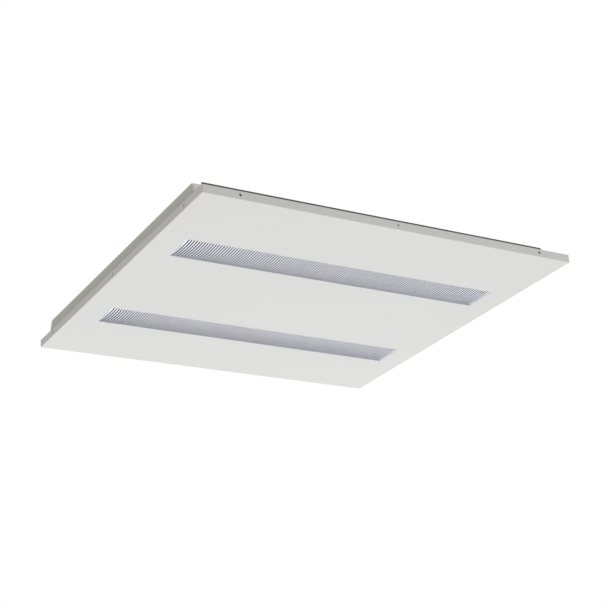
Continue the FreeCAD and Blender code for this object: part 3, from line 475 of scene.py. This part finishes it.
def lead_colours(name):
    """Insulation of the supply leads: brown, blue, and green with a yellow stripe."""
    brown_side, blue_side = -0.028, -0.036
    stripe_middle, stripe_half = -0.0398, 0.0006
    sheath = Finish(name, IOR=1.5)
    side = sheath.axis("Y")
    stripe = abs(side - stripe_middle) < stripe_half
    earth = sheath.mix(stripe, rgb(56, 132, 62), rgb(222, 200, 60))
    ripple = sheath.noise(700.0, detail=2.0, stretch=(0.25, 1, 1))
    earth_or_blue = sheath.mix(side > blue_side, earth, rgb(44, 92, 168))
    colour = sheath.mix(side > brown_side, earth_or_blue, rgb(110, 66, 40))
    sheath.colour(sheath.mix(ripple * 0.18, colour, rgb(30, 26, 24)))
    sheath.roughness(0.34 + 0.2 * ripple)
    sheath.relief(ripple, 0.00002)
    return sheath.material


def turned_brass(name):
    """Brass with lathe marks round its axis and a faint tarnish."""
    brass = Finish(name, Metallic=1.0)
    marks = brass.noise(900.0, detail=2.0, stretch=(0.3, 0.3, 2.0))
    tarnish = brass.noise(160.0, detail=3.0)
    brass.colour(brass.mix(tarnish, rgb(214, 178, 104), rgb(184, 142, 76)))
    brass.roughness(0.24 + 0.2 * marks)
    brass.relief(marks, 0.00001)
    return brass.material


def soft_rubber(name):
    """Black rubber, matt, with a grey bloom."""
    rubber = Finish(name, IOR=1.5, Specular_IOR_Level=0.35)
    bloom = rubber.noise(420.0, detail=4.0)
    rubber.colour(rubber.ramp(bloom, (0.35, rgb(56, 56, 57)), (0.75, rgb(70, 70, 71))))
    rubber.roughness(0.62 + 0.18 * bloom)
    rubber.relief(bloom, 0.00004)
    return rubber.material


finishes = {
    "white_panel": powder_coat("white_panel", rgb(224, 224, 224), rgb(219, 219, 219), 0.34, 0.00001),
    "white_housing": powder_coat("white_housing", rgb(212, 211, 207), rgb(204, 203, 198), 0.46, 0.000012),
    "reflector_white": powder_coat("reflector_white", rgb(240, 240, 240), rgb(234, 234, 234), 0.26, 0.000008),
    "driver_metal": powder_coat("driver_metal", rgb(214, 214, 211), rgb(202, 202, 198), 0.42, 0.000014),
    "zinc": plated_metal("zinc", rgb(186, 190, 196), rgb(170, 172, 172), 0.26),
    "rivet_steel": plated_metal("rivet_steel", rgb(198, 200, 203), rgb(180, 182, 186), 0.30),
    "spring_steel": plated_metal("spring_steel", rgb(160, 164, 170), rgb(140, 144, 150), 0.24, (1, 0.05, 1)),
    "aluminium": plated_metal("aluminium", rgb(206, 208, 210), rgb(190, 193, 196), 0.30, (0.03, 1, 1)),
    "zinc_sheet": galvanised_sheet("zinc_sheet"),
    "louvre": louvre_finish("louvre"),
    "opal": opal_finish("opal"),
    "board": board_finish("board", rgb(236, 237, 235), rgb(222, 224, 222), rgb(196, 198, 200)),
    "circuit": board_finish("circuit", rgb(24, 92, 48), rgb(42, 124, 68), rgb(190, 192, 194)),
    "led": led_finish("led"),
    "white_plastic": moulded_plastic("white_plastic", rgb(232, 232, 229), rgb(224, 223, 219), 0.38),
    "grey_plastic": moulded_plastic("grey_plastic", rgb(104, 107, 110), rgb(92, 95, 98), 0.42),
    "button": moulded_plastic("button", rgb(228, 122, 38), rgb(214, 108, 28), 0.36),
    "component": moulded_plastic("component", rgb(44, 45, 48), rgb(34, 34, 37), 0.40, texture=500.0),
    "lead_grey": moulded_plastic("lead_grey", rgb(158, 160, 162), rgb(146, 148, 150), 0.40, texture=700.0),
    "lead_brown": lead_colours("lead_brown"),
    "brass": turned_brass("brass"),
    "rubber": soft_rubber("rubber"),
}


def paint_frame():
    """Gives every CAD node the finish of its slot."""
    for part in frame["record"]["subparts"]:
        mesh = nodes[part["node"]].data
        mesh.materials.clear()
        mesh.materials.append(finishes[part["material_slot"]])


# ---- fasteners ----

def cross_screw(name, head_radius, head, shank_radius, depth):
    """A pan-head screw, seat at z 0, with a cross recess in its head."""
    lead_in = 0.4
    screw = turned(name, [
        (shank_radius * 0.8, -depth),
        (shank_radius, lead_in - depth),
        (shank_radius, 0.0),
        (head_radius, 0.0),
        (head_radius, head * 0.45),
        (head_radius * 0.93, head * 0.75),
        (head_radius * 0.72, head * 0.95),
        (head_radius * 0.40, head),
    ])
    reach = head_radius * 0.56
    width = head_radius * 0.13
    sink = head * 0.35
    for long_x, long_y in ((reach, width), (width, reach)):
        arm = block("recess", (-long_x, -long_y, sink), (long_x, long_y, 2 * head))
        bpy.ops.object.mode_set(mode="OBJECT")
        carve(screw, arm)
    return screw


def screws():
    """Cross-head screws in place of the plain ones, each left at a turn of its own."""
    head_radius, head, shank_radius = 4.0, 2.2, 1.95

    high = box_mm("spreader_screws")[1]
    reach_x, reach_y = high.x - head_radius, high.y - head_radius
    spots = [(x, side * reach_y) for side in (-1, 1) for x in (-reach_x, 0.0, reach_x)]
    places = [at(x, y, high.z - head, turn=0.5 + 0.9 * index) for index, (x, y) in enumerate(spots)]
    model = cross_screw("spreader_screw_model", head_radius, head, shank_radius, depth=2.6)
    finish_piece(copies("spreader_screws_cross", model, places), "zinc", "spreader_screws")

    high = box_mm("tray_screws")[1]
    reach_x, reach_y = high.x - head_radius, high.y - head_radius
    places = [
        at(side_x * reach_x, side_y * reach_y, high.z - head, turn=0.3 + side_x + 0.4 * side_y)
        for side_x in (-1, 1)
        for side_y in (-1, 1)
    ]
    model = cross_screw("tray_screw_model", head_radius, head, shank_radius, depth=3.4)
    finish_piece(copies("tray_screws_cross", model, places), "zinc", "tray_screws")

    head_radius, head, shank_radius = 2.75, 1.5, 1.45
    low, high = box_mm("driver_screws")
    middle = (low.y + high.y) / 2
    places = [
        at(x, middle, high.z - head, turn=0.02 * x)
        for x in (low.x + head_radius, high.x - head_radius)
    ]
    model = cross_screw("driver_screw_model", head_radius, head, shank_radius, depth=1.6)
    finish_piece(copies("driver_screws_cross", model, places), "zinc", "driver_screws")


def blind_rivet(name, foot, shank, top, foot_radius, shank_radius, top_radius):
    """A blind rivet: a rounded foot, a shank, and an end with the hollow that its drawn pin leaves."""
    segments = 24
    rings = [
        (foot_radius * 0.6, foot),
        (foot_radius * 0.92, foot + 0.25),
        (foot_radius, foot + 0.6),
        (foot_radius, shank[0]),
        (shank_radius, shank[0]),
        (shank_radius, shank[1]),
    ]
    if top_radius > shank_radius:
        rise = top - shank[1]
        rings += [
            (top_radius, shank[1]),
            (top_radius * 0.94, shank[1] + 0.4 * rise),
            (top_radius * 0.72, shank[1] + 0.85 * rise),
            (top_radius * 0.52, top),
        ]
    rings += [
        (shank_radius * 0.55, top),
        (shank_radius * 0.50, top - 0.5),
        (shank_radius * 0.30, top - 0.7),
    ]
    return turned(name, rings, segments)


def rivets():
    """Drawn rivets in the middle holes of the panel's edge, in the long walls and under the hangers."""
    flush = box_mm("edge_rivets")[1].x
    model = blind_rivet("edge_rivet_model", -2.7, (-1.5, 0.0), 0.0, 3.5, 1.9, 1.9)
    places = [
        at(0, -flush, EDGE_HOLE_Z, "-y"),
        at(0, flush, EDGE_HOLE_Z, "+y"),
        at(-flush, 0, EDGE_HOLE_Z, "-x"),
        at(flush, 0, EDGE_HOLE_Z, "+x"),
    ]
    finish_piece(copies("edge_rivets_drawn", model, places), "rivet_steel", "edge_rivets")

    tip = box_mm("wall_rivets")[1].y
    model = blind_rivet("wall_rivet_model", -4.2, (-3.0, -1.2), 0.0, 3.5, 1.9, 3.5)
    places = [at(0, -tip, EDGE_HOLE_Z, "-y"), at(0, tip, EDGE_HOLE_Z, "+y")]
    finish_piece(copies("wall_rivets_drawn", model, places), "rivet_steel", "wall_rivets")

    radius = 2.8
    pair_pitch = 12.0
    high = box_mm("hanger_rivets")[1]
    model = blind_rivet("hanger_rivet_model", -4.0, (-3.0, -1.0), 0.0, radius, 1.6, radius)
    places = [
        at(side_x * (high.x - radius - inward), side_y * (high.y - radius), high.z)
        for side_x in (-1, 1)
        for side_y in (-1, 1)
        for inward in (0.0, pair_pitch)
    ]
    finish_piece(copies("hanger_rivets_drawn", model, places), "rivet_steel", "hanger_rivets")


# ---- dark strips as painted shade ----

def painted_shade_strips():
    """Painted shade: dark strips in the rubber finish on the leaning long sides of the housing, where only
    shade falls; each ends in a lip above its top.
    """
    lean = Vector((0.0, -9.0, 21.0))
    middle = Vector((0.0, -260.6, 28.0))
    length, thickness, height = 558.0, 1.8, 17.0
    model = soft_block(
        "painted_shade_strip_model",
        (-length / 2, -thickness, -height / 2),
        (length / 2, 0.0, height / 2),
        radius=0.5,
        segments=2,
    )
    settle(model)
    upright = Vector((0.0, 0.0, 1.0))
    near = Matrix.Translation(middle * MM) @ Matrix.Rotation(-lean.angle(upright), 4, "X")
    far = Matrix.Rotation(pi, 4, "Z") @ near
    finish_piece(copies("painted_shade_strips", model, [near, far]), "rubber")


# ---- driver lid ----

def driver_lid():
    """The driver's snap-on lid, folded from sheet, with two rows of vent slots over its warm components."""
    sheet = 0.8
    slot_width, slot_length, slot_pitch, slots_in_row = 2.4, 15.0, 6.0, 9
    low, high = box_mm("driver_cover")
    lid = soft_block("driver_lid", low, high, radius=0.6 * sheet, segments=3)
    settle(lid)
    room = block(
        "lid_room",
        (low.x - sheet, low.y + sheet, low.z - sheet),
        (high.x + sheet, high.y - sheet, high.z - sheet),
    )
    carve(lid, settle(room))

    vent = soft_block(
        "lid_vent",
        (-slot_width / 2, -slot_length / 2, -2 * sheet),
        (slot_width / 2, slot_length / 2, 2 * sheet),
        radius=0.8,
        segments=3,
    )
    settle(vent)
    middle = (low + high) / 2
    row_reach = (high.y - low.y) / 4
    first = middle.x - (slots_in_row - 1) / 2 * slot_pitch
    places = [
        at(first + step * slot_pitch, middle.y + side * row_reach, high.z - sheet / 2)
        for side in (-1, 1)
        for step in range(slots_in_row)
    ]
    carve(lid, copies("lid_vents", vent, places))
    finish_piece(lid, "driver_metal", "driver_cover")


# ---- grommets, plugs and buttons ----

def grommet_rings(bore, neck, rim, low, wall, high, soft):
    """Half section of a grommet with rounded rims on both sides of a wall."""
    return [
        (bore, low + soft),
        (bore + soft * 0.4, low + soft * 0.3),
        (bore + soft, low),
        (rim - soft, low),
        (rim - soft * 0.3, low + soft * 0.3),
        (rim, low + soft),
        (rim, wall[0]),
        (neck, wall[0]),
        (neck, wall[1]),
        (rim, wall[1]),
        (rim, high - soft),
        (rim - soft * 0.3, high - soft * 0.3),
        (rim - soft, high),
        (bore + soft, high),
        (bore + soft * 0.4, high - soft * 0.3),
        (bore, high - soft),
        (bore, low + soft),
    ]


def grommets():
    """Soft rims on the cable entry and the lead holes, and a ring on each blanking plug."""
    foot = 3.8
    low, high = box_mm("cable_grommet")
    rings = grommet_rings(4.5, 8.2, 9.5, -foot, (0.0, 0.8), 4.6, 1.1)
    places = [at(low.x + foot, (low.y + high.y) / 2, (low.z + high.z) / 2, "+x")]
    model = turned("cable_grommet_model", rings, 48)
    finish_piece(copies("cable_grommet_soft", model, places), "rubber", "cable_grommet")

    rim = 5.6
    low, high = box_mm("lead_grommets")
    middle = (low.x + high.x) / 2
    rings = grommet_rings(1.9, 4.45, rim, 0.0, (1.0, 2.6), 3.6, 0.45)
    places = [at(middle, y, low.z) for y in (low.y + rim, high.y - rim)]
    model = turned("lead_grommet_model", rings, 36)
    finish_piece(copies("lead_grommets_soft", model, places), "rubber", "lead_grommets")

    rim = 9.5
    low, high = box_mm("blanking_plugs")
    middle = (low.z + high.z) / 2
    places = [at(high.x, y, middle, "+x") for y in (low.y + rim, high.y - rim)]
    model = turned("blanking_plug_model", [
        (7.4, -4.6),
        (8.2, -3.8),
        (8.2, -1.6),
        (rim, -1.6),
        (rim, -0.7),
        (9.2, -0.2),
        (8.6, 0.0),
        (6.4, 0.0),
        (6.1, -0.2),
        (6.0, -0.7),
        (2.0, -0.7),
        (1.7, -0.5),
        (1.2, -0.4),
    ], 48)
    finish_piece(copies("blanking_plugs_capped", model, places), "grey_plastic", "blanking_plugs")


def release_button(index):
    """A sprung release button: softened edges and a screwdriver slot in its top."""
    label = f"release_button_{index}"
    soft, rim, step = 0.45, 0.5, 0.6
    slot_share, slot_depth = 0.45, 0.9
    low, high = box_mm(label)
    top = high * MM
    centre = ((low.x + high.x) / 2 * MM, (low.y + high.y) / 2 * MM, top.z)
    button = soft_block(f"{label}_slotted", low, high, soft, segments=3)
    choose_faces(button, lambda middle, normal: normal.z > 0.9 and middle.z > top.z - 0.01 * MM)
    bpy.ops.mesh.inset(thickness=rim * MM)
    bpy.ops.mesh.inset(thickness=step * MM)
    bpy.ops.transform.resize(value=(1.0, slot_share, 1.0), center_override=centre)
    bpy.ops.mesh.extrude_region_move(TRANSFORM_OT_translate={"value": (0, 0, -slot_depth * MM)})
    finish_piece(settle(button), "button", label, body=f"button_{index}")


# ---- leads ----

def soft_lead(name, points, radius):
    """A lead along one smooth spline through points, as a closed mesh."""
    curve = bpy.data.curves.new(name, "CURVE")
    curve.dimensions = "3D"
    curve.bevel_depth = radius * MM
    curve.bevel_resolution = 5
    curve.resolution_u = 14
    curve.use_fill_caps = True
    spline = curve.splines.new("NURBS")
    spline.points.add(len(points) - 1)
    for spot, point in zip(spline.points, points):
        spot.co = (*(Vector(point) * MM), 1.0)
    spline.order_u = 3
    spline.use_endpoint_u = True
    piece = bpy.data.objects.new(name, curve)
    bpy.context.collection.objects.link(piece)
    select_only(piece)
    bpy.ops.object.convert(target="MESH")
    return settle(bpy.context.object)


def led_lead(side, sign, hole_y):
    """From the driver's socket through the grommet and along the housing to the board's plug."""
    label = f"led_lead_{side}"
    radius = 1.6
    driver_end, tray_side, grommet_x, aisle_start = 138.0, 146.0, 157.0, 200.0
    plug_run = 14.0
    slack = 0.8
    middle = sign * SLOT_MIDDLE
    aisle = sign * 86.0
    low, high = box_mm(label)
    level, run = high.z - radius, low.z + radius
    start = low.x if low.x > 100 else driver_end
    turn = high.x - radius
    lead = soft_lead(f"{label}_soft", [
        (start, hole_y, level),
        (tray_side, hole_y, level),
        (grommet_x, hole_y, level - 0.6),
        (grommet_x, hole_y, run),
        (grommet_x, (hole_y + aisle) / 2, run),
        (grommet_x + 0.5, aisle, run),
        (aisle_start, aisle + sign * slack, run),
        (turn, aisle, run),
        (turn, (aisle + middle) / 2, run),
        (turn, middle, run),
        (turn - plug_run, middle, run),
        (low.x, middle, run),
    ], radius)
    finish_piece(lead, "lead_grey", label)


def supply_leads():
    """Three insulated leads from the terminals to the driver, each with a little slack."""
    radius, pitch = 1.4, 8.0
    low, high = box_mm("supply_leads")
    level = (low.z + high.z) / 2
    middle = (low.y + high.y) / 2
    span = high.x - low.x
    made = []
    for index, bow in enumerate((0.9, -0.8, 0.7)):
        y = middle + (index - 1) * pitch
        made.append(soft_lead(f"supply_lead_{index}", [
            (low.x, y, level),
            (low.x + 0.2 * span, y, level),
            (low.x + 0.45 * span, y + bow, level + 1.6),
            (low.x + 0.7 * span, y + bow * 0.5, level + 0.9),
            (low.x + 0.85 * span, y, level),
            (high.x, y, level),
        ], radius))
    finish_piece(joined("supply_leads_soft", made), "lead_brown", "supply_leads")


# ---- studio and camera: sizes in metres ----

def soft_box(name, place, aim, size, power):
    """A large soft lamp that the camera doesn't see."""
    lamp = bpy.data.lights.new(name, "AREA")
    lamp.shape = "SQUARE"
    lamp.size = size
    lamp.energy = power
    stand = bpy.data.objects.new(name, lamp)
    stand.location = place
    stand.rotation_mode = "QUATERNION"
    stand.rotation_quaternion = (Vector(aim) - Vector(place)).to_track_quat("-Z", "Y")
    stand.visible_camera = False
    bpy.context.collection.objects.link(stand)


def pale_floor():
    """A plain pale floor that the camera sees as nearly white, with the light's shadow on it."""
    clear_selection()
    bpy.ops.mesh.primitive_plane_add(size=400, location=(0, 0, -2.7))
    floor = bpy.context.object
    floor.name = "floor"
    pale = Finish("pale_floor", Roughness=0.9)
    worn = pale.noise(1.2, detail=2.0)
    pale.colour(pale.mix(worn, rgb(240, 240, 240), rgb(236, 236, 236)))
    matt = Line(pale, pale.shader.outputs[0])
    glow = pale.add("ShaderNodeEmission", inputs={"Strength": 0.95})
    share = pale.add("ShaderNodeLightPath", out="Is Camera Ray") * 0.65
    both = pale.add("ShaderNodeMixShader", inputs={0: share, 1: matt, 2: glow})
    pale.feed(pale.tree.nodes["Material Output"].inputs["Surface"], both)
    floor.data.materials.append(pale.material)


def room_light():
    """White behind the object; plain light from all round, a little warm from the left."""
    lighting, background = 0.5, 1.0
    warm, warm_end = (0.9, 0.84, 0.70, 1.0), 0.38
    world = bpy.data.worlds.new("studio")
    bpy.context.scene.world = world
    world.use_nodes = True
    room = Shading(world.node_tree)
    surface = world.node_tree.nodes["Background"]
    camera_ray = room.add("ShaderNodeLightPath", out="Is Camera Ray")
    transmission_ray = room.add("ShaderNodeLightPath", out="Is Transmission Ray")
    seen = room.maths("MAXIMUM", camera_ray, transmission_ray)
    level = room.add("ShaderNodeMix", {"data_type": "FLOAT"}, {0: seen, 2: lighting, 3: background})
    direction = room.add("ShaderNodeTexCoord", out="Generated")
    right = room.add("ShaderNodeSeparateXYZ", inputs={0: direction}, out="X")
    tint = room.ramp(right * 0.5 + 0.5, (0.0, warm), (warm_end, WHITE))
    room.feed(surface.inputs["Strength"], level)
    room.feed(surface.inputs["Color"], room.mix(seen, tint, WHITE))


def lamps():
    """A wide lamp low down, which the blades mirror, and two smaller ones in front and above."""
    origin = (0.0, 0.0, 0.0)
    soft_box("light_below", (1.2, 2.8, -2.55), (1.2, 2.8, 0.0), size=7.6, power=153.0)
    soft_box("light_front", (1.8, -2.4, -0.4), origin, size=2.0, power=14.0)
    soft_box("light_above", (0.4, -0.6, 2.6), origin, size=3.0, power=36.0)


def photo_camera():
    """The photograph's view: from below, looking up at the near left corner."""
    picture_width, focal_length = 608.0, 1490.0
    place = Vector((-1.0595, -1.8235, -0.8554))
    right = Vector((0.87119, -0.48753, -0.05785))
    down = Vector((0.13777, 0.35586, -0.92433))
    ahead = Vector((0.47122, 0.79729, 0.37719))
    lens = bpy.data.cameras.new("photo_camera")
    lens.sensor_width = 36.0
    lens.lens = focal_length * lens.sensor_width / picture_width
    lens.clip_start = 0.05
    lens.clip_end = 60.0
    camera = bpy.data.objects.new("photo_camera", lens)
    turn = Matrix((right, -down, -ahead)).transposed()
    camera.matrix_world = Matrix.Translation(place) @ turn.to_4x4()
    bpy.context.collection.objects.link(camera)
    bpy.context.scene.camera = camera


paint_frame()
screws()
rivets()
# dark strips standing in for shade on the housing's leaning long sides
painted_shade_strips()
driver_lid()
grommets()
for number in range(1, 6):
    release_button(number)
led_lead("near", -1, -38.0)
led_lead("far", 1, -26.0)
supply_leads()
pale_floor()
room_light()
lamps()
photo_camera()
bpy.context.scene.view_settings.view_transform = "Standard"
